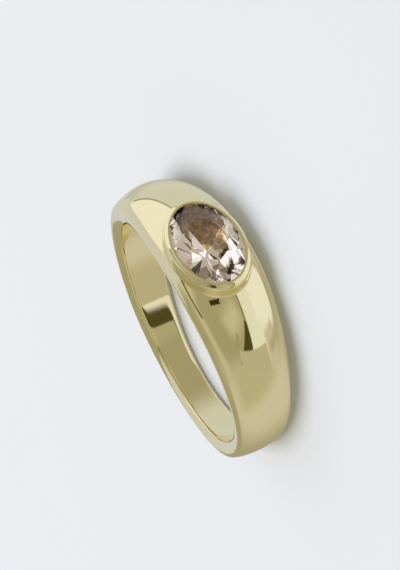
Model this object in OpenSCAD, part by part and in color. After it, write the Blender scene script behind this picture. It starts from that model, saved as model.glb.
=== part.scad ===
// Solitaire ring with an oval faceted stone in a low bezel.
// The ring is first drawn with its finger bore along Z and its head towards -Y,
// then laid on its side. The sides of the band are a wedge, wide at the head,
// so the bore leans a little from the vertical when the ring lies down.

/* [Finger bore] */
// Diameter of the finger bore
bore_diameter = 17.3; // [15.7:0.1:19.8]

/* [Band] */
// Width over the sides at the head
head_width = 6.44; // [6.2:0.02:6.6]
// Width over the sides at the back of the shank
back_width = 2.56; // [2.4:0.02:3.0]
// Height of the crown of the dome over the bore at the head
head_rise = 2.5; // [2.4:0.02:2.6]
// Height of the crown of the dome over the bore at the back
back_rise = 1.25; // [1.1:0.02:1.4]
// How far the bore edge stands in from the widest part of a side
side_flare = 0.22; // [0.18:0.02:0.3]
// Share of the ridge height at which a side is widest
widest_share = 0.75; // [0.7:0.01:0.8]

/* [Bezel] */
// Height of the bezel lip over the bore
lip_rise = 2.68; // [2.64:0.02:2.8]
// Width of the thin rim round the stone
lip_width = 0.15; // [0.12:0.01:0.2]

/* [Stone] */
// Length of the oval stone, across the finger
stone_length = 6.92; // [6.86:0.02:6.98]
// Width of the oval stone, along the finger
stone_width = 4.86; // [4.80:0.02:4.92]
// Height of the crown over the girdle
crown_height = 0.74; // [0.7:0.02:1.1]
// Thickness of the girdle
girdle_height = 0.14; // [0.1:0.01:0.15]
// Depth of the pavilion under the girdle
pavilion_depth = 2.05; // [1.7:0.05:2.1]
// Size of the table against the whole stone
table_share = 0.54; // [0.5:0.01:0.62]
// Clearance between the stone and its seat
stone_gap = 0.02; // [0.015:0.005:0.03]

/* [Quality] */
// Sections round the shank
shank_sections = 72; // [48:12:96]
// Steps round the bezel
bezel_steps = 64; // [48:16:80]

/* [Hidden] */

bore_r = bore_diameter / 2;

// Shank sections from the head (0 degrees) to the back (180 degrees).
// rise and ridge are heights over the bore, as shares of the way from the back
// value to the head value for rise, and in mm for ridge. inset is how far the
// ridge stands in from the widest part of the side. hollow is how far the side
// is sunk below the flat plane on which the ring lies. fullness bends the dome:
// 1 is a plain arc that meets the ridge at an angle, 2 is round to the side.
ANGLE = 0;
RISE = 1;
RIDGE = 2;
INSET = 3;
HOLLOW = 4;
FULLNESS = 5;
shank_table = [
    // angle, rise, ridge, inset, hollow, fullness
    [0, 0.98, 1.43, 0.36, 0.00, 1.12],
    [15, 0.94, 1.44, 0.36, 0.00, 1.12],
    [30, 0.90, 1.46, 0.36, 0.09, 1.12],
    [45, 0.86, 1.47, 0.34, 0.18, 1.12],
    [60, 0.74, 1.46, 0.25, 0.25, 1.15],
    [80, 0.48, 1.38, 0.13, 0.26, 1.30],
    [100, 0.23, 1.20, 0.07, 0.20, 1.6],
    [120, 0.08, 1.02, 0.04, 0.11, 1.9],
    [140, 0.02, 0.88, 0.04, 0.00, 2.0],
    [180, 0.00, 0.78, 0.04, 0.00, 2.0],
];

// Side of a shank section between the bore edge and the ridge, as shares:
// up of the ridge height, flare of the side's flare and inset of the ridge inset.
SIDE_UP = 0;
SIDE_FLARE = 1;
SIDE_INSET = 2;
side_table = [
    // up, flare, inset
    [0.07, 1.00, 0.00],
    [0.28, 0.45, 0.00],
    [0.52, 0.20, 0.00],
    [widest_share, 0.00, 0.00],
    [(1 + widest_share) / 2, 0.00, 0.47],
];

// Bezel sections from the lip down into the band. drop is the depth below the
// lip, long and wide are how far the section stands out from the lip's edge.
DROP = 0;
LONG = 1;
WIDE = 2;
bezel_table = [
    // drop, long, wide
    [0.00, 0.00, 0.00],
    [0.04, 0.04, 0.04],
    [0.16, 0.30, 0.24],
    [0.24, 0.34, 0.27],
    [0.40, 0.36, 0.28],
    [0.70, 0.38, 0.285],
    [0.88, 0.40, 0.29],
    [0.99, 0.43, 0.30],
    [1.09, 0.49, 0.31],
    [1.90, 0.56, 0.33],
];

// How far the stone's edge runs under the lip, along and across
lip_cover_long = 0.06;
lip_cover_wide = 0.07;
// Height of the upright wall at the top of the opening
lip_land = 0.05;
// Height of the lip over the top of the girdle
lip_over_girdle = 0.22;
// Share of the pavilion's depth at which the seat turns into the light hole
seat_share = 0.86;
// How much the light hole widens towards the bore
light_hole_flare = 0.08;

half_length = stone_length / 2;
half_width = stone_width / 2;
lip_r = bore_r + lip_rise;
open_long = half_length - lip_cover_long;
open_wide = half_width - lip_cover_wide;
girdle_top = lip_r - lip_over_girdle;
girdle_bottom = girdle_top - girdle_height;
table_r = girdle_top + crown_height;

// Wedge of the sides: half width at the head and the back, and its lean
head_side_r = bore_r + widest_share * shank_table[0][RIDGE];
back_side_r = bore_r + widest_share * shank_table[len(shank_table) - 1][RIDGE];
wedge_slope = (head_width - back_width) / 2 / (head_side_r + back_side_r);
lean = atan(wedge_slope);

// Places of the laid ring: its lower side on the floor, the middle of its length at 0
floor_drop = (head_width / 2 - head_side_r * wedge_slope) * cos(lean);
table_half = half_width * table_share;
reach_front = table_r * cos(lean) + table_half * sin(lean);
back_ridge = bore_r + shank_table[len(shank_table) - 1][RIDGE];
back_arc = bore_r + back_rise - back_ridge;
back_half = back_width / 2 - shank_table[len(shank_table) - 1][INSET];
reach_back = back_ridge * cos(lean) + norm([back_arc * cos(lean), back_half * sin(lean)]);

// Value of a table's column at an angle, eased between its rows
function row_at(a, rows, i = 0) =
    (i >= len(rows) - 2 || a < rows[i + 1][ANGLE]) ? i : row_at(a, rows, i + 1);
function slope_at(rows, i, column) =
    (i == 0 || i == len(rows) - 1) ? 0
    : (rows[i + 1][column] - rows[i - 1][column]) / (rows[i + 1][ANGLE] - rows[i - 1][ANGLE]);
function hermite(t, span, v0, m0, v1, m1) =
    (2 * t^3 - 3 * t^2 + 1) * v0 + (t^3 - 2 * t^2 + t) * span * m0
    + (3 * t^2 - 2 * t^3) * v1 + (t^3 - t^2) * span * m1;
function eased(rows, a, column) =
    let (i = row_at(a, rows), span = rows[i + 1][ANGLE] - rows[i][ANGLE])
    hermite((a - rows[i][ANGLE]) / span, span,
        rows[i][column], slope_at(rows, i, column),
        rows[i + 1][column], slope_at(rows, i + 1, column));

// Half width of the flat wedge where a side is widest, at an angle from the head
function wedge_half(a, side_r) =
    head_width / 2 - (head_side_r - side_r * cos(a)) * wedge_slope;

// Points of one shank section as [height over the bore, half width], head side up,
// from the bore edge on the right side over the dome to the left side
DOME_STEPS = 6;
UNDERCUT = 0.5;
function right_half(a) =
    let (
        ridge = eased(shank_table, a, RIDGE),
        rise = back_rise + (head_rise - back_rise) * eased(shank_table, a, RISE),
        fullness = eased(shank_table, a, FULLNESS),
        widest_h = widest_share * ridge,
        widest = wedge_half(a, bore_r + widest_h) - max(0, eased(shank_table, a, HOLLOW)),
        inset = eased(shank_table, a, INSET),
        ridge_half = widest - inset
    )
    concat(
        [[-UNDERCUT, widest - side_flare - UNDERCUT / 2]],
        [for (s = side_table)
            [ridge * s[SIDE_UP], widest - side_flare * s[SIDE_FLARE] - inset * s[SIDE_INSET]]],
        [for (k = [0 : DOME_STEPS])
            let (
                u = cos(90 * k / DOME_STEPS),
                arc = pow(1 - u * u, 1 / fullness)
            )
            [ridge + (rise - ridge) * arc, ridge_half * u]]
    );
function section(a) =
    let (half = right_half(a), n = len(half))
    concat(half, [for (k = [n - 2 : -1 : 0]) [half[k][0], -half[k][1]]]);

// Closed sweep of rings of points: each ring joins the next and the last joins the first
function ring_faces(rings, points) = [
    for (i = [0 : rings - 1], j = [0 : points - 1])
        let (
            p = i * points + j,
            q = i * points + (j + 1) % points,
            r = ((i + 1) % rings) * points + (j + 1) % points,
            s = ((i + 1) % rings) * points + j
        )
        each [[p, r, q], [p, s, r]]
];

// Stack of oval sections, each [height, half length, half width], highest first
function oval_points(rows, steps) = [
    for (row = rows, k = [0 : steps - 1])
        [row[1] * cos(360 * k / steps), -row[0], row[2] * sin(360 * k / steps)]
];
function stack_faces(rows, steps) = concat(
    [[for (k = [steps - 1 : -1 : 0]) k]],
    [for (i = [0 : rows - 2], k = [0 : steps - 1])
        let (
            p = i * steps + k,
            q = i * steps + (k + 1) % steps,
            r = q + steps,
            s = p + steps
        )
        each [[p, q, s], [q, r, s]]],
    [[for (k = [0 : steps - 1]) (rows - 1) * steps + k]]
);

module oval_stack(rows) {
    polyhedron(
        points = oval_points(rows, bezel_steps),
        faces = stack_faces(len(rows), bezel_steps),
        convexity = 4
    );
}

module shank() {
    turns = [for (i = [0 : shank_sections - 1]) 360 * i / shank_sections];
    points = [
        for (a = turns)
            each [for (p = section(a > 180 ? 360 - a : a))
                [(bore_r + p[0]) * sin(a), -(bore_r + p[0]) * cos(a), p[1]]]
    ];
    polyhedron(
        points = points,
        faces = ring_faces(shank_sections, len(section(0))),
        convexity = 8
    );
}

module bezel() {
    oval_stack([
        for (row = bezel_table)
            [lip_r - row[DROP], open_long + lip_width + row[LONG], open_wide + lip_width + row[WIDE]]
    ]);
}

// Opening for the stone: the lip, a pocket for the girdle, a seat that follows
// the pavilion, and the hole that lets light in from the bore
module seat() {
    pocket = [half_length + stone_gap, half_width + stone_gap];
    cone = [half_length, half_width] * girdle_facet_share + 2 * [stone_gap, stone_gap];
    seat_drop = pavilion_depth * seat_share;
    hole = [half_length, half_width] * pavilion_share(seat_drop) + 2 * [stone_gap, stone_gap];
    oval_stack([
        [lip_r + 1, open_long, open_wide],
        [lip_r - lip_land, open_long, open_wide],
        [girdle_top + stone_gap, pocket[0], pocket[1]],
        [girdle_bottom - stone_gap, pocket[0], pocket[1]],
        [girdle_bottom - lower_depth, cone[0], cone[1]],
        [girdle_bottom - seat_drop, hole[0], hole[1]],
        [bore_r - 1, hole[0] + light_hole_flare, hole[1] + light_hole_flare],
    ]);
}

module band_upright() {
    difference() {
        union() {
            shank();
            bezel();
        }
        seat();
        cylinder(h = head_width + 2, r = bore_r, center = true, $fn = 144);
    }
}

// Stone: rings of points as shares of its half length and half width.
// Eight kites run from the table's corners to the girdle, with stars and
// girdle facets between them, and eight mains run from the girdle to the culet.
CORNERS = 8;
STEP = 360 / CORNERS;
star_share = 0.80;
girdle_facet_share = 0.68;
function share_ring(share, turn, height, count) = [
    for (k = [0 : count - 1])
        let (a = turn + 360 * k / count)
        [half_length * share * cos(a), -height, half_width * share * sin(a)]
];
star_height = crown_height * (1 - star_share * cos(STEP / 2)) / (1 - table_share);
lower_depth = pavilion_depth * (1 - girdle_facet_share * cos(STEP / 2));
// Reach of the mains' corners at a depth below the girdle, as a share of the half sizes
function pavilion_share(depth) = (1 - depth / pavilion_depth) / cos(STEP / 2);
stone_points = concat(
    share_ring(table_share, 0, table_r, CORNERS),
    share_ring(star_share, STEP / 2, girdle_top + star_height, CORNERS),
    share_ring(1, 0, girdle_top, 2 * CORNERS),
    share_ring(1, 0, girdle_bottom, 2 * CORNERS),
    share_ring(girdle_facet_share, STEP / 2, girdle_bottom - lower_depth, CORNERS),
    [[0, -(girdle_bottom - pavilion_depth), 0]]
);
function table_at(k) = k % CORNERS;
function star_at(k) = CORNERS + k % CORNERS;
function top_at(k) = 2 * CORNERS + k % (2 * CORNERS);
function low_at(k) = 4 * CORNERS + k % (2 * CORNERS);
function main_at(k) = 6 * CORNERS + k % CORNERS;
culet = 7 * CORNERS;
stone_faces = concat(
    [[for (k = [CORNERS - 1 : -1 : 0]) table_at(k)]],
    [for (k = [0 : CORNERS - 1]) [table_at(k), table_at(k + 1), star_at(k)]],
    [for (k = [0 : CORNERS - 1])
        [table_at(k + 1), star_at(k + 1), top_at(2 * k + 2), star_at(k)]],
    [for (k = [0 : CORNERS - 1])
        each [[star_at(k), top_at(2 * k + 1), top_at(2 * k)],
            [star_at(k), top_at(2 * k + 2), top_at(2 * k + 1)]]],
    [for (k = [0 : 2 * CORNERS - 1])
        [top_at(k), top_at(k + 1), low_at(k + 1), low_at(k)]],
    [for (k = [0 : CORNERS - 1])
        each [[low_at(2 * k), low_at(2 * k + 1), main_at(k)],
            [low_at(2 * k + 1), low_at(2 * k + 2), main_at(k)]]],
    [for (k = [0 : CORNERS - 1])
        [low_at(2 * k + 2), main_at(k + 1), culet, main_at(k)]]
);

// Lays the upright ring on its side
module laid() {
    translate([0, (reach_front - reach_back) / 2, floor_drop])
        rotate([-lean, 0, 0])
            children();
}

module band() {
    color([0.80, 0.74, 0.50])
        laid() band_upright();
}

module stone() {
    color([0.86, 0.74, 0.70])
        laid() polyhedron(points = stone_points, faces = stone_faces, convexity = 2);
}

band();
stone();
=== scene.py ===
"""Solitaire ring with an oval faceted stone in a low bezel, laid on its side.

The pieces are modelled upright in millimetres, with the finger bore along Z
and the head towards -Y, and are then laid on their side in metres.
"""

import logging
import math
from dataclasses import dataclass, field
from enum import Enum

import bpy
from mathutils import Matrix, Vector

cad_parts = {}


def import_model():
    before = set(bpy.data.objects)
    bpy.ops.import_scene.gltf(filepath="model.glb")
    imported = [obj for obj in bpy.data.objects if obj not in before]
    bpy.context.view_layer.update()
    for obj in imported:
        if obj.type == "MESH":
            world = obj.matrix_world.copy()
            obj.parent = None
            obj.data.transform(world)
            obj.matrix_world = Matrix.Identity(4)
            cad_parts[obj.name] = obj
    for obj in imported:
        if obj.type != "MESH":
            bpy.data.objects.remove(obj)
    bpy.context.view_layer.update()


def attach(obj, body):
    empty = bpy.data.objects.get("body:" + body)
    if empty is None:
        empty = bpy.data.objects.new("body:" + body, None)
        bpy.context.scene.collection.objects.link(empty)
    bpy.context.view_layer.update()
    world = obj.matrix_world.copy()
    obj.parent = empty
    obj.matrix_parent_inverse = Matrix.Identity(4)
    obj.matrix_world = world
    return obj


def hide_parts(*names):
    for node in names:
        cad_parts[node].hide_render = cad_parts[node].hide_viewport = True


MM = 0.001
log = logging.getLogger("ring")


class Column(Enum):
    """Columns of the shank table that are eased between its rows."""

    RISE = "rise"
    RIDGE = "ridge"
    INSET = "inset"
    HOLLOW = "hollow"
    FULLNESS = "fullness"


@dataclass(frozen=True)
class ShankRow:
    """One section of the shank.

    Attributes:
        angle: Degrees from the head.
        rise: Share of the way from the back's rise to the head's.
        ridge: Height of the ridge over the bore.
        inset: How far the ridge stands in from the widest place.
        hollow: How far the side stands in from the plain wedge.
        fullness: Shape of the dome, where 1 is a parabola and 2 an ellipse.
    """

    angle: float
    rise: float
    ridge: float
    inset: float
    hollow: float
    fullness: float


@dataclass(frozen=True)
class SideRow:
    """A point of a section's side.

    Attributes:
        up: Share of the ridge's height.
        flare: Share of the side's flare that the point stands in by.
        inset: Share of the ridge's inset that the point stands in by.
    """

    up: float
    flare: float
    inset: float


@dataclass(frozen=True)
class OvalRow:
    """An oval section of the bezel or its seat.

    Attributes:
        height: Height over the bore's axis.
        long: Half length, along the band.
        wide: Half width, across the band.
    """

    height: float
    long: float
    wide: float


class Bench:
    """The modelling steps that every piece shares, with their tolerances in millimetres."""

    MERGE = 0.0005
    CUT = 0.0001

    @staticmethod
    def clear() -> None:
        """Deselect every object and leave edit mode."""
        if bpy.context.object and bpy.context.object.mode != "OBJECT":
            bpy.ops.object.mode_set(mode="OBJECT")
        bpy.ops.object.select_all(action="DESELECT")

    @staticmethod
    def pick(obj: bpy.types.Object) -> None:
        """Select one object alone and make it active.

        Args:
            obj: The object.
        """
        Bench.clear()
        obj.select_set(True)
        bpy.context.view_layer.objects.active = obj

    @staticmethod
    def named(name: str) -> bpy.types.Object:
        """Name the new primitive and its mesh.

        Args:
            name: Name of the object and of its mesh.

        Returns:
            The new primitive.
        """
        obj = bpy.context.object
        obj.name = obj.data.name = name
        return obj

    @staticmethod
    def apply(obj: bpy.types.Object, kind: str, **settings: object) -> None:
        """Add a modifier with settings and apply it.

        Args:
            obj: The piece that is worked on.
            kind: Blender's name of the modifier.
            settings: Values set on the modifier before it is applied.
        """
        Bench.pick(obj)
        modifier = obj.modifiers.new(kind.title(), kind)
        for key, value in settings.items():
            setattr(modifier, key, value)
        bpy.ops.object.modifier_apply(modifier=modifier.name)

    @staticmethod
    def outward(obj: bpy.types.Object) -> None:
        """Turn every face of a closed piece outwards.

        Args:
            obj: The piece.
        """
        Bench.pick(obj)
        bpy.ops.object.mode_set(mode="EDIT")
        bpy.ops.mesh.select_all(action="SELECT")
        bpy.ops.mesh.remove_doubles(threshold=Bench.MERGE)
        bpy.ops.mesh.normals_make_consistent(inside=False)
        bpy.ops.object.mode_set(mode="OBJECT")

    @staticmethod
    def oval_stack(name: str, rows: list[OvalRow], steps: int) -> bpy.types.Object:
        """Raise a closed stack of ovals, extruded from one row to the next.

        Args:
            name: Name of the new object.
            rows: Oval rows from the top to the bottom.
            steps: Points round each oval.

        Returns:
            The closed solid, upright in millimetres.
        """
        Bench.clear()
        bpy.ops.mesh.primitive_circle_add(
            vertices=steps, radius=1, fill_type="NGON", rotation=(math.pi / 2, 0, 0)
        )
        obj = Bench.named(name)
        bpy.ops.object.transform_apply(location=True, rotation=True, scale=True)
        bpy.ops.object.mode_set(mode="EDIT")
        bpy.ops.mesh.select_all(action="SELECT")
        first = rows[0]
        bpy.ops.transform.resize(value=(first.long, 1, first.wide))
        bpy.ops.transform.translate(value=(0, -first.height, 0))
        for above, row in zip(rows, rows[1:]):
            bpy.ops.mesh.extrude_region_move(
                TRANSFORM_OT_translate={"value": (0, above.height - row.height, 0)}
            )
            bpy.ops.transform.resize(
                value=(row.long / above.long, 1, row.wide / above.wide)
            )
        bpy.ops.object.mode_set(mode="OBJECT")
        Bench.outward(obj)
        return obj


@dataclass
class Shank:
    """The band: a domed ring that narrows from the head to the back."""

    bore_diameter: float = 17.3
    head_width: float = 6.44
    back_width: float = 2.56
    head_rise: float = 2.5
    back_rise: float = 1.25
    side_flare: float = 0.22
    widest_share: float = 0.75
    bore_round: float = 0.08
    edge_inset: float = 0.04
    edge_up: float = 0.03
    flat_share: float = 0.6
    sections: int = 72
    dome_steps: int = 6
    smoothing: int = 2
    rows: tuple[ShankRow, ...] = (
        ShankRow(0, 0.98, 1.43, 0.36, 0.00, 1.12),
        ShankRow(15, 0.94, 1.44, 0.36, 0.00, 1.12),
        ShankRow(30, 0.90, 1.46, 0.36, 0.09, 1.12),
        ShankRow(45, 0.86, 1.47, 0.34, 0.18, 1.12),
        ShankRow(60, 0.74, 1.46, 0.25, 0.25, 1.15),
        ShankRow(80, 0.48, 1.38, 0.13, 0.26, 1.30),
        ShankRow(100, 0.23, 1.20, 0.07, 0.20, 1.60),
        ShankRow(120, 0.08, 1.02, 0.04, 0.11, 1.90),
        ShankRow(140, 0.02, 0.88, 0.04, 0.00, 2.00),
        ShankRow(180, 0.00, 0.78, 0.04, 0.00, 2.00),
    )
    side: tuple[SideRow, ...] = (
        SideRow(0.07, 1.00, 0.00),
        SideRow(0.28, 0.45, 0.00),
        SideRow(0.52, 0.20, 0.00),
        SideRow(0.75, 0.00, 0.00),
        SideRow(0.875, 0.00, 0.47),
    )

    @property
    def bore_r(self) -> float:
        """Radius of the finger bore."""
        return self.bore_diameter / 2

    @property
    def head_side_r(self) -> float:
        """Radius at which the head is widest."""
        return self.bore_r + self.widest_share * self.rows[0].ridge

    @property
    def back_side_r(self) -> float:
        """Radius at which the back is widest."""
        return self.bore_r + self.widest_share * self.rows[-1].ridge

    @property
    def slope(self) -> float:
        """Slope of the flat sides, which form a wedge."""
        return (self.head_width - self.back_width) / 2 / (self.head_side_r + self.back_side_r)

    def eased(self, angle: float, column: Column) -> float:
        """Value of a column at an angle, eased between the rows.

        Args:
            angle: Degrees from the head, 0 to 180.
            column: Which column of the shank table.

        Returns:
            The eased value.
        """
        rows, name = self.rows, column.value
        i = max(k for k in range(len(rows) - 1) if k == 0 or rows[k].angle <= angle)

        def slope_at(k: int) -> float:
            """Slope of the column at a row.

            Args:
                k: Number of the row.

            Returns:
                Change of the column for each degree.
            """
            if k in (0, len(rows) - 1):
                return 0.0
            rise = getattr(rows[k + 1], name) - getattr(rows[k - 1], name)
            return rise / (rows[k + 1].angle - rows[k - 1].angle)

        span = rows[i + 1].angle - rows[i].angle
        t = (angle - rows[i].angle) / span
        low, high = getattr(rows[i], name), getattr(rows[i + 1], name)
        return (
            (2 * t**3 - 3 * t**2 + 1) * low
            + (t**3 - 2 * t**2 + t) * span * slope_at(i)
            + (3 * t**2 - 2 * t**3) * high
            + (t**3 - t**2) * span * slope_at(i + 1)
        )

    def wedge_half(self, angle: float, side_r: float) -> float:
        """Half width of the wedge at an angle and a radius.

        Args:
            angle: Degrees from the head, 0 to 180.
            side_r: Distance from the bore's axis.

        Returns:
            The half width.
        """
        drop = self.head_side_r - side_r * math.cos(math.radians(angle))
        return self.head_width / 2 - drop * self.slope

    def section(self, angle: float) -> list[tuple[float, float]]:
        """Closed section of the shank at an angle from the head.

        Args:
            angle: Degrees from the head, 0 to 180.

        Returns:
            Points as height over the bore and half width, from the middle of
            the bore over the upper side and the dome and back on the other side.
        """
        ridge = self.eased(angle, Column.RIDGE)
        share = self.eased(angle, Column.RISE)
        rise = self.back_rise + (self.head_rise - self.back_rise) * share
        fullness = self.eased(angle, Column.FULLNESS)
        widest = self.wedge_half(angle, self.bore_r + self.widest_share * ridge)
        widest -= max(0.0, self.eased(angle, Column.HOLLOW))
        inset = self.eased(angle, Column.INSET)
        edge = widest - self.side_flare - self.edge_inset
        half = [(0.0, 0.0), (0.0, edge * self.flat_share), (0.0, edge - self.bore_round)]
        half.append((self.edge_up, edge))
        half += [
            (ridge * s.up, widest - self.side_flare * s.flare - inset * s.inset)
            for s in self.side
        ]
        for k in range(self.dome_steps + 1):
            u = math.cos(math.pi / 2 * k / self.dome_steps)
            arc = (1 - u * u) ** (1 / fullness)
            half.append((ridge + (rise - ridge) * arc, (widest - inset) * u))
        return half + [(h, -w) for h, w in half[-2:0:-1]]

    def build(self) -> bpy.types.Object:
        """Shape a torus blank to the shank's sections and smooth it.

        Returns:
            The closed shank, upright in millimetres.
        """
        count = len(self.section(0))
        middle = self.bore_r + self.head_rise / 2
        Bench.clear()
        bpy.ops.mesh.primitive_torus_add(
            major_segments=self.sections,
            minor_segments=count,
            major_radius=middle,
            minor_radius=1,
        )
        obj = Bench.named("shank_blank")
        # smoothing draws a closed row of points in by this share
        drawn_in = (2 + math.cos(math.tau / self.sections)) / 3
        for vertex in obj.data.vertices:
            x, y, z = vertex.co
            turn = math.atan2(x, -y)
            station = round(turn / math.tau * self.sections)
            round_section = math.atan2(z, middle - math.hypot(x, y))
            point = round(round_section / math.tau * count) % count
            angle = abs(360 * station / self.sections)
            height, wide = self.section(min(angle, 180.0))[point]
            r = (self.bore_r + height) / drawn_in
            turn = math.tau * station / self.sections
            vertex.co = (r * math.sin(turn), -r * math.cos(turn), wide)
        Bench.outward(obj)
        Bench.apply(obj, "SUBSURF", levels=self.smoothing, render_levels=self.smoothing)
        return obj


@dataclass
class Stone:
    """The oval faceted stone, cut from a blank one facet at a time."""

    length: float = 6.92
    width: float = 4.86
    crown: float = 0.74
    girdle: float = 0.14
    pavilion: float = 2.05
    table_share: float = 0.54
    star_share: float = 0.80
    lower_share: float = 0.68
    corners: int = 8
    girdle_top: float = 11.11
    blank_steps: int = 96
    blank_depth: float = 6

    @property
    def half_step(self) -> float:
        """Half the turn from one corner of the table to the next."""
        return math.pi / self.corners

    @property
    def girdle_bottom(self) -> float:
        """Height of the lower edge of the girdle over the bore's axis."""
        return self.girdle_top - self.girdle

    def at(self, share: float, turn: float, height: float) -> Vector:
        """Point at a share of the half sizes, a turn and a height.

        Args:
            share: Share of the stone's half sizes.
            turn: Turn round the stone in steps of half a corner.
            height: Height over the bore's axis.

        Returns:
            The point, upright in millimetres.
        """
        a = turn * self.half_step
        return Vector(
            (
                self.length / 2 * share * math.cos(a),
                -height,
                self.width / 2 * share * math.sin(a),
            )
        )

    def facets(self) -> list[tuple[Vector, Vector, Vector]]:
        """List the planes that the stone is cut by.

        Returns:
            Three points on each facet, the table first and the mains last.
        """
        cos = math.cos(self.half_step)
        table = self.girdle_top + self.crown
        star = self.girdle_top + self.crown * (1 - self.star_share * cos) / (1 - self.table_share)
        low = self.girdle_bottom - self.pavilion * (1 - self.lower_share * cos)
        culet = Vector((0, self.pavilion - self.girdle_bottom, 0))
        cuts = [tuple(self.at(self.table_share, t, table) for t in (0, 4, 8))]
        for k in range(0, 2 * self.corners, 2):
            corner = self.at(self.table_share, k, table)
            following = self.at(self.table_share, k + 2, table)
            point = self.at(self.star_share, k + 1, star)
            edge = self.at(1, k, self.girdle_top)
            before = self.at(self.star_share, k - 1, star)
            cuts.append((corner, point, edge))
            cuts.append((corner, following, point))
            cuts.append((point, edge, self.at(1, k + 1, self.girdle_top)))
            cuts.append((before, edge, self.at(1, k - 1, self.girdle_top)))
            under = self.at(self.lower_share, k + 1, low)
            rim = self.at(1, k, self.girdle_bottom)
            cuts.append((under, rim, self.at(1, k + 1, self.girdle_bottom)))
            behind = self.at(self.lower_share, k - 1, low)
            cuts.append((behind, rim, self.at(1, k - 1, self.girdle_bottom)))
            cuts.append((under, behind, culet))
        return cuts

    def build(self) -> bpy.types.Object:
        """Cut the stone out of an oval blank, one plane for each facet.

        Returns:
            The closed stone, upright in millimetres.
        """
        Bench.clear()
        middle = self.girdle_top - self.girdle / 2
        bpy.ops.mesh.primitive_cylinder_add(
            vertices=self.blank_steps,
            radius=1,
            depth=self.blank_depth,
            location=(0, -middle, 0),
            rotation=(math.pi / 2, 0, 0),
        )
        obj = Bench.named("stone_blank")
        bpy.ops.object.transform_apply(location=True, rotation=True, scale=True)
        bpy.ops.object.mode_set(mode="EDIT")
        bpy.ops.mesh.select_all(action="SELECT")
        bpy.ops.transform.resize(value=(self.length / 2, 1, self.width / 2))
        heart = Vector((0, -middle, 0))
        for a, b, c in self.facets():
            normal = (b - a).cross(c - a).normalized()
            if normal.dot(a - heart) < 0:
                normal.negate()
            bpy.ops.mesh.select_all(action="SELECT")
            bpy.ops.mesh.bisect(
                plane_co=a,
                plane_no=normal,
                use_fill=True,
                clear_outer=True,
                threshold=Bench.CUT,
            )
        bpy.ops.object.mode_set(mode="OBJECT")
        Bench.outward(obj)
        return obj


@dataclass
class Bezel:
    """The rubbed-over rim round the stone and the seat under it."""

    stone: Stone
    bore_r: float = 8.65
    lip_rise: float = 2.68
    lip_width: float = 0.15
    cover_long: float = 0.06
    cover_wide: float = 0.07
    land: float = 0.05
    gap: float = 0.02
    seat_share: float = 0.86
    hole_flare: float = 0.08
    steps: int = 96
    seat_reach: float = 1.04
    cutter_spare: float = 1
    # drop from the lip, and the reach past its outer edge along the oval and across it
    outer: tuple[tuple[float, float, float], ...] = (
        (0.00, 0.00, 0.00),
        (0.04, 0.04, 0.04),
        (0.16, 0.30, 0.24),
        (0.24, 0.34, 0.27),
        (0.40, 0.36, 0.28),
        (0.70, 0.38, 0.285),
        (0.88, 0.40, 0.29),
        (0.99, 0.43, 0.30),
        (1.09, 0.49, 0.31),
        (1.90, 0.56, 0.33),
    )

    @property
    def lip_r(self) -> float:
        """Height of the lip over the bore's axis."""
        return self.bore_r + self.lip_rise

    @property
    def open_long(self) -> float:
        """Half length of the opening."""
        return self.stone.length / 2 - self.cover_long

    @property
    def open_wide(self) -> float:
        """Half width of the opening."""
        return self.stone.width / 2 - self.cover_wide

    def smoothed(self) -> list[tuple[float, float, float]]:
        """Halve the outer rows once and then smooth them in two rounds.

        Returns:
            The finer rows, each with its drop and its two reaches.
        """
        rows = [Vector(row) for row in self.outer]
        for smooth in (False, True, True):
            finer = [rows[0]]
            for i in range(1, len(rows)):
                finer.append((rows[i - 1] + rows[i]) / 2)
                if smooth and i < len(rows) - 1:
                    finer.append((rows[i - 1] + 6 * rows[i] + rows[i + 1]) / 8)
                else:
                    finer.append(rows[i])
            rows = finer
        return [tuple(row) for row in rows]

    def wall(self) -> list[OvalRow]:
        """Work out the ovals of the bezel's outside.

        Returns:
            Rows from inside the lip's edge down into the band.
        """
        long, wide = self.open_long + self.lip_width, self.open_wide + self.lip_width
        top = OvalRow(self.lip_r, long - self.lip_width / 2, wide - self.lip_width / 2)
        return [top] + [
            OvalRow(self.lip_r - drop, long + out, wide + across)
            for drop, out, across in self.smoothed()
        ]

    def seat(self) -> list[OvalRow]:
        """Work out the ovals of the hollow for the stone.

        Returns:
            Rows from over the lip down through the bore.
        """
        s = self.stone
        half = (s.length / 2, s.width / 2)
        under = (1 - self.seat_share) / math.cos(s.half_step)
        low = s.pavilion * (1 - s.lower_share * math.cos(s.half_step))
        cone = [h * s.lower_share + 2 * self.gap for h in half]
        hole = [h * under + 2 * self.gap for h in half]
        mouth = [h + self.hole_flare for h in hole]
        return [
            OvalRow(self.lip_r + self.cutter_spare, self.open_long, self.open_wide),
            OvalRow(self.lip_r - self.land, self.open_long, self.open_wide),
            OvalRow(s.girdle_top + self.gap, half[0] + self.gap, half[1] + self.gap),
            OvalRow(s.girdle_bottom - self.gap, half[0] + self.gap, half[1] + self.gap),
            OvalRow(s.girdle_bottom - low, *cone),
            OvalRow(s.girdle_bottom - s.pavilion * self.seat_share, *hole),
            OvalRow(self.bore_r - self.cutter_spare, *mouth),
        ]

    def holds(self, place: Vector) -> bool:
        """Tell the cut seat from the polished gold.

        Args:
            place: A place on the upright band.

        Returns:
            True in the seat, under the lip's land.
        """
        reach = (place.x / self.open_long) ** 2 + (place.z / self.open_wide) ** 2
        low, high = self.bore_r + self.gap, self.lip_r - self.land - self.gap / 2
        return reach < self.seat_reach and low < -place.y < high


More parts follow.
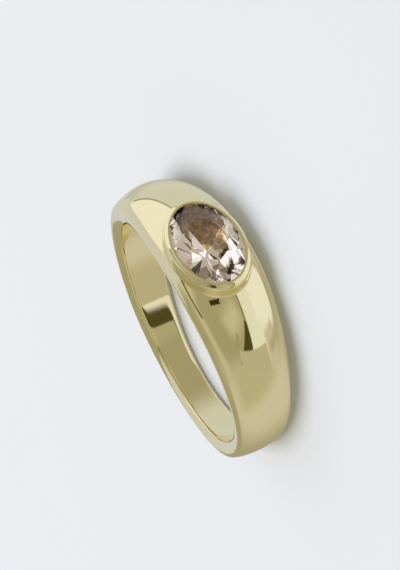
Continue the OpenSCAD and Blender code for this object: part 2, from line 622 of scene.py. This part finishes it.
class Wiring:
    """Short forms for the nodes that the finishes and the studio are made of."""

    def __init__(self, tree: bpy.types.NodeTree) -> None:
        """Keep the node tree that is wired."""
        self.nodes, self.links = tree.nodes, tree.links

    @staticmethod
    def finish(name: str) -> tuple[bpy.types.Material, "Wiring"]:
        """Start a material with nodes.

        Args:
            name: Name of the material.

        Returns:
            The material and the wiring of its nodes.
        """
        mat = bpy.data.materials.new(name)
        mat.use_nodes = True
        return mat, Wiring(mat.node_tree)

    @property
    def shader(self) -> bpy.types.Node:
        """The material's shader."""
        return self.nodes["Principled BSDF"]

    def put(self, socket: bpy.types.NodeSocket, value: object) -> None:
        """Link a socket into an input, or set the input to a number.

        Args:
            socket: The input.
            value: A socket to link, or the number or vector it is set to.
        """
        if isinstance(value, bpy.types.NodeSocket):
            self.links.new(value, socket)
        elif value is not None:
            socket.default_value = value

    def noise(self, scale: float, detail: float = 2) -> bpy.types.NodeSocket:
        """A noise on the object's own coordinates.

        Args:
            scale: Clouds to the metre.
            detail: How many finer layers it has.

        Returns:
            The socket with the noise, from 0 to 1.
        """
        place = self.nodes.new("ShaderNodeTexCoord").outputs["Object"]
        node = self.nodes.new("ShaderNodeTexNoise")
        self.put(node.inputs["Vector"], place)
        self.put(node.inputs["Scale"], scale)
        self.put(node.inputs["Detail"], detail)
        return node.outputs["Fac"]

    def maths(self, kind: str, a: object, b: object = None) -> bpy.types.NodeSocket:
        """A Math node on one or two inputs.

        Args:
            kind: The node's operation.
            a: First input.
            b: Second input, if the operation has one.

        Returns:
            The socket with the result.
        """
        node = self.nodes.new("ShaderNodeMath")
        node.operation = kind
        self.put(node.inputs[0], a)
        self.put(node.inputs[1], b)
        return node.outputs["Value"]

    def dot(self, a: bpy.types.NodeSocket, axis: Vector) -> bpy.types.NodeSocket:
        """A vector's share along an axis.

        Args:
            a: The vector.
            axis: The axis, of length 1.

        Returns:
            The socket with the share.
        """
        node = self.nodes.new("ShaderNodeVectorMath")
        node.operation = "DOT_PRODUCT"
        self.put(node.inputs[0], a)
        node.inputs[1].default_value = axis
        return node.outputs["Value"]

    def step(
        self, value: bpy.types.NodeSocket, edge: float, soft: float, rising: bool = True
    ) -> bpy.types.NodeSocket:
        """A soft step at an edge.

        Args:
            value: What is compared with the edge.
            edge: The middle of the step.
            soft: Half the width of the step.
            rising: True for 1 above the edge, False for 1 below it.

        Returns:
            The socket with the step.
        """
        node = self.nodes.new("ShaderNodeMapRange")
        node.interpolation_type = "SMOOTHSTEP"
        self.put(node.inputs["Value"], value)
        node.inputs["From Min"].default_value = edge - soft
        node.inputs["From Max"].default_value = edge + soft
        node.inputs["To Min"].default_value = 0 if rising else 1
        node.inputs["To Max"].default_value = 1 if rising else 0
        return node.outputs["Result"]

    def both(self, *masks: bpy.types.NodeSocket) -> bpy.types.NodeSocket:
        """The product of masks.

        Args:
            masks: Sockets from 0 to 1.

        Returns:
            The socket that is 1 where all of them are.
        """
        out = masks[0]
        for mask in masks[1:]:
            out = self.maths("MULTIPLY", out, mask)
        return out

    def mix(self, mask: object, low: object, high: object) -> bpy.types.NodeSocket:
        """Mix two colours by a mask.

        Args:
            mask: 0 for the first colour and 1 for the second.
            low: The first colour.
            high: The second colour.

        Returns:
            The socket with the mixed colour.
        """
        node = self.nodes.new("ShaderNodeMix")
        node.data_type = "RGBA"
        for name, value in (("Factor", mask), ("A", low), ("B", high)):
            if isinstance(value, tuple) and len(value) == 3:
                value = (*value, 1)
            self.put(node.inputs[name], value)
        return node.outputs["Result"]


@dataclass(frozen=True)
class Gold:
    """Polished pale yellow gold with faint polishing marks."""

    colour: tuple[float, float, float] = (0.92, 0.85, 0.58)
    shade: tuple[float, float, float] = (0.8924, 0.81175, 0.522)
    roughness: tuple[float, float] = (0.02, 0.06)
    cloud_scale: float = 260
    mark_scale: float = 2600

    def make(self) -> bpy.types.Material:
        """Build the gold's material.

        Returns:
            The material.
        """
        mat, wiring = Wiring.finish("polished_gold")
        shader = wiring.shader
        shader.inputs["Metallic"].default_value = 1
        cloud = wiring.noise(self.cloud_scale, detail=3)
        wiring.put(shader.inputs["Base Color"], wiring.mix(cloud, self.colour, self.shade))
        rough = wiring.nodes.new("ShaderNodeMapRange")
        rough.inputs["To Min"].default_value = self.roughness[0]
        rough.inputs["To Max"].default_value = self.roughness[1]
        wiring.put(rough.inputs["Value"], wiring.noise(self.mark_scale, detail=4))
        wiring.put(shader.inputs["Roughness"], rough.outputs["Result"])
        return mat


@dataclass(frozen=True)
class CutGold:
    """Bur-cut gold of the seat under the stone, left matt and dull."""

    colour: tuple[float, float, float] = (0.80, 0.63, 0.43)
    shade: tuple[float, float, float] = (0.42, 0.30, 0.19)
    roughness: float = 0.5
    cut_scale: float = 3200
    cut_soft: float = 0.16

    def make(self) -> bpy.types.Material:
        """Build the seat's material.

        Returns:
            The material.
        """
        mat, wiring = Wiring.finish("cut_gold")
        shader = wiring.shader
        shader.inputs["Metallic"].default_value = 1
        shader.inputs["Roughness"].default_value = self.roughness
        cuts = wiring.noise(self.cut_scale, detail=3)
        grain = wiring.step(cuts, edge=0.5, soft=self.cut_soft)
        wiring.put(shader.inputs["Base Color"], wiring.mix(grain, self.shade, self.colour))
        return mat


@dataclass(frozen=True)
class Morganite:
    """Clear pale pink beryl with a faint cloud in its colour."""

    colour: tuple[float, float, float] = (0.975, 0.925, 0.895)
    shade: tuple[float, float, float] = (0.96525, 0.888, 0.85025)
    ior: float = 1.583
    cloud_scale: float = 420

    def make(self) -> bpy.types.Material:
        """Build the stone's material.

        Returns:
            The material.
        """
        mat, wiring = Wiring.finish("morganite")
        shader = wiring.shader
        shader.inputs["IOR"].default_value = self.ior
        shader.inputs["Transmission Weight"].default_value = 1
        shader.inputs["Roughness"].default_value = 0
        cloud = wiring.noise(self.cloud_scale)
        wiring.put(shader.inputs["Base Color"], wiring.mix(cloud, self.colour, self.shade))
        return mat


@dataclass(frozen=True)
class Card:
    """A light or dark card of the studio, in a direction from the ring.

    Attributes:
        azimuth: Degrees from the head's side towards +X.
        elevation: Degrees over the floor.
        half_wide: Half width, in degrees as seen from the ring.
        half_high: Half height, in degrees as seen from the ring.
        soft: Half the width of the soft edge, in degrees.
        roll: Turn of the card in its own plane, in degrees.
        colour: What the card shines with.
    """

    azimuth: float
    elevation: float
    half_wide: float
    half_high: float
    soft: float
    roll: float
    colour: tuple[float, float, float]

    def mask(self, wiring: Wiring, look: bpy.types.NodeSocket) -> bpy.types.NodeSocket:
        """Nodes that are 1 inside the card and 0 outside it.

        Args:
            wiring: The world's nodes.
            look: The direction that is looked in.

        Returns:
            The socket with the mask.
        """
        az, el = math.radians(self.azimuth), math.radians(self.elevation)
        ahead = Vector((math.sin(az) * math.cos(el), -math.cos(az) * math.cos(el), math.sin(el)))
        side = Vector((math.cos(az), math.sin(az), 0))
        up = side.cross(ahead)
        turn = Matrix.Rotation(-math.radians(self.roll), 3, ahead)
        side, up = turn @ side, turn @ up
        masks = []
        for axis, half in ((side, self.half_wide), (up, self.half_high)):
            off = wiring.maths("ARCTAN2", wiring.dot(look, axis), wiring.dot(look, ahead))
            off = wiring.maths("ABSOLUTE", off)
            masks.append(
                wiring.step(off, math.radians(half), math.radians(self.soft), rising=False)
            )
        return wiring.both(*masks)


@dataclass
class Studio:
    """The pale floor, the soft light and the cards round the ring."""

    floor_size: float = 3.0
    floor_colour: tuple[float, float, float] = (0.76, 0.79, 0.88)
    floor_shade: float = 0.985
    floor_roughness: float = 0.7
    floor_gloss: float = 0.2
    floor_cloud_scale: float = 40
    base: tuple[float, float, float] = (0.40, 0.37, 0.25)
    plain: tuple[float, float, float, float] = (0.78, 0.78, 0.77, 1)
    lamp_power: float = 2.5
    lamp_size: float = 0.5
    lamp_place: tuple[float, float, float] = (0.05, 0.1, 0.6)
    # later cards lie over earlier ones
    cards: tuple[Card, ...] = (
        # soft cards on the -X side, in front, on the +X side and overhead
        Card(-120, -11, 35, 64, 26, 10, (0.64, 0.61, 0.53)),
        Card(-85, -6, 24, 40, 12, -29, (0.53, 0.49, 0.36)),
        Card(-35, 8, 10, 17, 9, -26, (0.58, 0.55, 0.41)),
        Card(91, -27, 38, 51, 19, -10, (0.67, 0.69, 0.69)),
        Card(55, 55, 29, 8.5, 12, 28, (0.84, 0.85, 0.83)),
        Card(-46, 64, 35, 8.5, 6, -16, (0.58, 0.55, 0.41)),
        # the bright card on the +X side, two grey ones behind it and a thin line under it
        Card(80, 22, 34, 27, 1.2, -11, (0.93, 0.93, 0.93)),
        Card(133, 21, 17, 45, 1.5, -24, (0.64, 0.65, 0.67)),
        Card(121, 42, 22, 46, 1.4, -23, (0.66, 0.67, 0.69)),
        Card(91, -2, 23, 1.1, 0.6, -11, (0.36, 0.34, 0.29)),
        # small dark cards on the -X side and in front
        Card(-54, 15, 9, 2.5, 1.5, 36, (0.38, 0.35, 0.22)),
        Card(-59, -2.5, 23, 7, 0.8, 40, (0.08, 0.07, 0.02)),
        Card(-28, -14.8, 9, 1, 0.5, 5, (0.10, 0.09, 0.04)),
        # bright cards below, with greyer ones at their ends
        Card(-33, -45, 38, 29.5, 1.2, 6, (0.81, 0.82, 0.79)),
        Card(-25, -58, 15.5, 21, 3, 1, (0.88, 0.90, 0.91)),
        Card(-77, -52, 14, 11.5, 2, 14, (0.60, 0.57, 0.48)),
        Card(-73, -12, 11, 28, 1, 4, (0.52, 0.48, 0.36)),
        Card(10, -92, 44, 4.7, 4, 8, (0.46, 0.42, 0.35)),
        # two thin dark bars, overhead and in front
        Card(-2, 62, 16, 2.6, 1.5, 3, (0.16, 0.13, 0.04)),
        Card(-19, 25, 2.1, 8, 0.5, 3, (0.04, 0.03, 0.01)),
    )
    # what the rays that leave the stone see instead
    stone_base: tuple[float, float, float] = (0.53, 0.47, 0.38)
    stone_cards: tuple[Card, ...] = (
        Card(-10, -87, 90, 44, 3, 0, (1.28, 1.28, 1.24)),
        Card(-26, 24, 29, 7, 3, 0, (0.74, 0.71, 0.64)),
        Card(22, 18, 11.5, 22, 3, 0, (0.86, 0.84, 0.79)),
        Card(52, 25, 13, 10, 3, 0, (0.20, 0.155, 0.11)),
        Card(-14, -21.5, 18, 4.3, 3, 0, (1.20, 1.20, 1.18)),
        Card(34, -3.5, 15, 9, 3, 0, (1.10, 1.10, 1.10)),
        Card(18.5, -8, 7.7, 9.6, 3, 0, (1.12, 1.12, 1.12)),
        Card(10.5, 5, 9, 3.8, 3, 0, (0.05, 0.03, 0.02)),
    )

    def floor(self) -> None:
        """Lay the pale floor under the ring."""
        Bench.clear()
        bpy.ops.mesh.primitive_plane_add(size=self.floor_size)
        obj = Bench.named("floor")
        mat, wiring = Wiring.finish("pale_floor")
        shader = wiring.shader
        shader.inputs["Roughness"].default_value = self.floor_roughness
        shader.inputs["Specular IOR Level"].default_value = self.floor_gloss
        darker = tuple(c * self.floor_shade for c in self.floor_colour)
        cloud = wiring.noise(self.floor_cloud_scale)
        wiring.put(shader.inputs["Base Color"], wiring.mix(cloud, self.floor_colour, darker))
        obj.data.materials.append(mat)
        obj.visible_glossy = obj.visible_transmission = False

    def lamp(self) -> None:
        """Hang a wide soft lamp over the ring, for the floor and the shadow."""
        data = bpy.data.lights.new("overhead", "AREA")
        data.shape = "DISK"
        data.size = self.lamp_size
        data.energy = self.lamp_power
        obj = bpy.data.objects.new("overhead", data)
        obj.location = self.lamp_place
        obj.rotation_euler = obj.location.to_track_quat("Z", "Y").to_euler()
        obj.visible_glossy = False
        bpy.context.scene.collection.objects.link(obj)

    def surroundings(self) -> None:
        """Build the world: one set of cards for the gold, and one that the stone gathers."""
        world = bpy.data.worlds.new("room")
        bpy.context.scene.world = world
        world.use_nodes = True
        wiring = Wiring(world.node_tree)
        room = world.node_tree.nodes["Background"]
        look = wiring.nodes.new("ShaderNodeTexCoord").outputs["Generated"]
        sides = []
        for colour, cards in ((self.base, self.cards), (self.stone_base, self.stone_cards)):
            for card in cards:
                colour = wiring.mix(card.mask(wiring, look), colour, card.colour)
            sides.append(colour)
        path = wiring.nodes.new("ShaderNodeLightPath")
        through = path.outputs["Is Transmission Ray"]
        wiring.put(room.inputs["Color"], wiring.mix(through, *sides))
        plain = wiring.nodes.new("ShaderNodeBackground")
        plain.inputs["Color"].default_value = self.plain
        shown = wiring.nodes.new("ShaderNodeMixShader")
        wiring.put(shown.inputs["Fac"], path.outputs["Is Camera Ray"])
        wiring.put(shown.inputs[1], room.outputs["Background"])
        wiring.put(shown.inputs[2], plain.outputs["Background"])
        end = world.node_tree.nodes["World Output"]
        wiring.put(end.inputs["Surface"], shown.outputs["Shader"])


@dataclass
class Viewpoint:
    """The camera at the photograph's angle.

    Attributes:
        aim: The point that it looks at, in millimetres.
        back: Direction from that point to the camera.
        up: Direction that is up in the picture.
        distance: Millimetres from that point to the camera.
        lens: Focal length, in millimetres.
        sensor: Size of the sensor along the picture's longer side, in millimetres.
        near: Metres from which things show.
        far: Metres up to which things show.
    """

    aim: tuple[float, float, float] = (2.0835, -0.4899, 1.1837)
    back: tuple[float, float, float] = (-0.42126, -0.82843, 0.36912)
    up: tuple[float, float, float] = (0.77598, -0.53990, -0.32612)
    distance: float = 320.0
    lens: float = 281.66
    sensor: float = 36
    near: float = 0.01
    far: float = 20

    def make(self) -> None:
        """Place the camera."""
        data = bpy.data.cameras.new("camera")
        data.lens = self.lens
        data.sensor_width = self.sensor
        data.clip_start = self.near
        data.clip_end = self.far
        obj = bpy.data.objects.new("camera", data)
        back, up = Vector(self.back).normalized(), Vector(self.up)
        right = up.cross(back).normalized()
        up = back.cross(right)
        turn = Matrix((right, up, back)).transposed()
        place = (Vector(self.aim) + back * self.distance) * MM
        obj.matrix_world = Matrix.Translation(place) @ turn.to_4x4()
        bpy.context.scene.collection.objects.link(obj)
        bpy.context.scene.camera = obj


@dataclass
class Ring:
    """The whole ring: band with its bezel, and the stone."""

    shank: Shank = field(default_factory=Shank)
    stone: Stone = field(default_factory=Stone)
    bezel: Bezel = field(init=False)
    smooth_angle: float = 38

    def __post_init__(self) -> None:
        """Fit the bezel to the stone and the bore."""
        self.bezel = Bezel(self.stone, self.shank.bore_r)

    def lie_down(self, obj: bpy.types.Object) -> None:
        """Lay a piece on its side, in metres, and settle its place in its mesh.

        Args:
            obj: The piece, upright in millimetres.
        """
        s, stone = self.shank, self.stone
        # the lower side is flat on the floor, so the ring leans by the wedge's slope
        lean = math.atan(s.slope)
        drop = (s.head_width / 2 - s.head_side_r * s.slope) * math.cos(lean)
        # its reach in front, at the stone's table, and behind, at the dome, centres it
        table_r = stone.girdle_top + stone.crown
        front = table_r * math.cos(lean) + stone.width / 2 * stone.table_share * math.sin(lean)
        last = s.rows[-1]
        ridge_r = s.bore_r + last.ridge
        arc = s.bore_r + s.back_rise - ridge_r
        half = s.back_width / 2 - last.inset
        back = ridge_r * math.cos(lean) + math.hypot(arc * math.cos(lean), half * math.sin(lean))
        Bench.pick(obj)
        obj.matrix_world = (
            Matrix.Scale(MM, 4)
            @ Matrix.Translation((0, (front - back) / 2, drop))
            @ Matrix.Rotation(-lean, 4, "X")
        )
        bpy.ops.object.transform_apply(location=True, rotation=True, scale=True)

    def build_band(self) -> bpy.types.Object:
        """Join shank and bezel into one piece of metal and cut the seat into it.

        Returns:
            The band, laid on its side.
        """
        band = self.shank.build()
        rim = Bench.oval_stack("bezel_blank", self.bezel.wall(), self.bezel.steps)
        seat = Bench.oval_stack("seat_cutter", self.bezel.seat(), self.bezel.steps)
        Bench.apply(band, "BOOLEAN", operation="UNION", solver="EXACT", object=rim)
        Bench.apply(band, "BOOLEAN", operation="DIFFERENCE", solver="EXACT", object=seat)
        for tool in (rim, seat):
            bpy.data.objects.remove(tool)
        band.name = band.data.name = "gold_band"
        band.data.materials.clear()
        for finish in (Gold(), CutGold()):
            band.data.materials.append(finish.make())
        for face in band.data.polygons:
            face.material_index = 1 if self.bezel.holds(face.center) else 0
        Bench.pick(band)
        bpy.ops.object.shade_smooth_by_angle(angle=math.radians(self.smooth_angle))
        self.lie_down(band)
        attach(band, "root")
        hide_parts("band")
        return band

    def build_stone(self) -> bpy.types.Object:
        """Cut the stone and set it in the bezel.

        Returns:
            The stone, laid on its side.
        """
        gem = self.stone.build()
        gem.name = gem.data.name = "oval_stone"
        self.lie_down(gem)
        gem.data.materials.clear()
        gem.data.materials.append(Morganite().make())
        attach(gem, "root")
        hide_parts("stone")
        return gem


def main() -> None:
    """Build the ring, the studio and the camera in order."""
    logging.basicConfig(level=logging.INFO, format="%(message)s")
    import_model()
    ring = Ring()
    for build in (ring.build_band, ring.build_stone):
        piece = build()
        log.info("%s: %d faces", piece.name, len(piece.data.polygons))
    studio = Studio()
    studio.floor()
    studio.lamp()
    studio.surroundings()
    Viewpoint().make()
    scene = bpy.context.scene
    scene.view_settings.view_transform = "Standard"


if __name__ == "__main__":
    main()
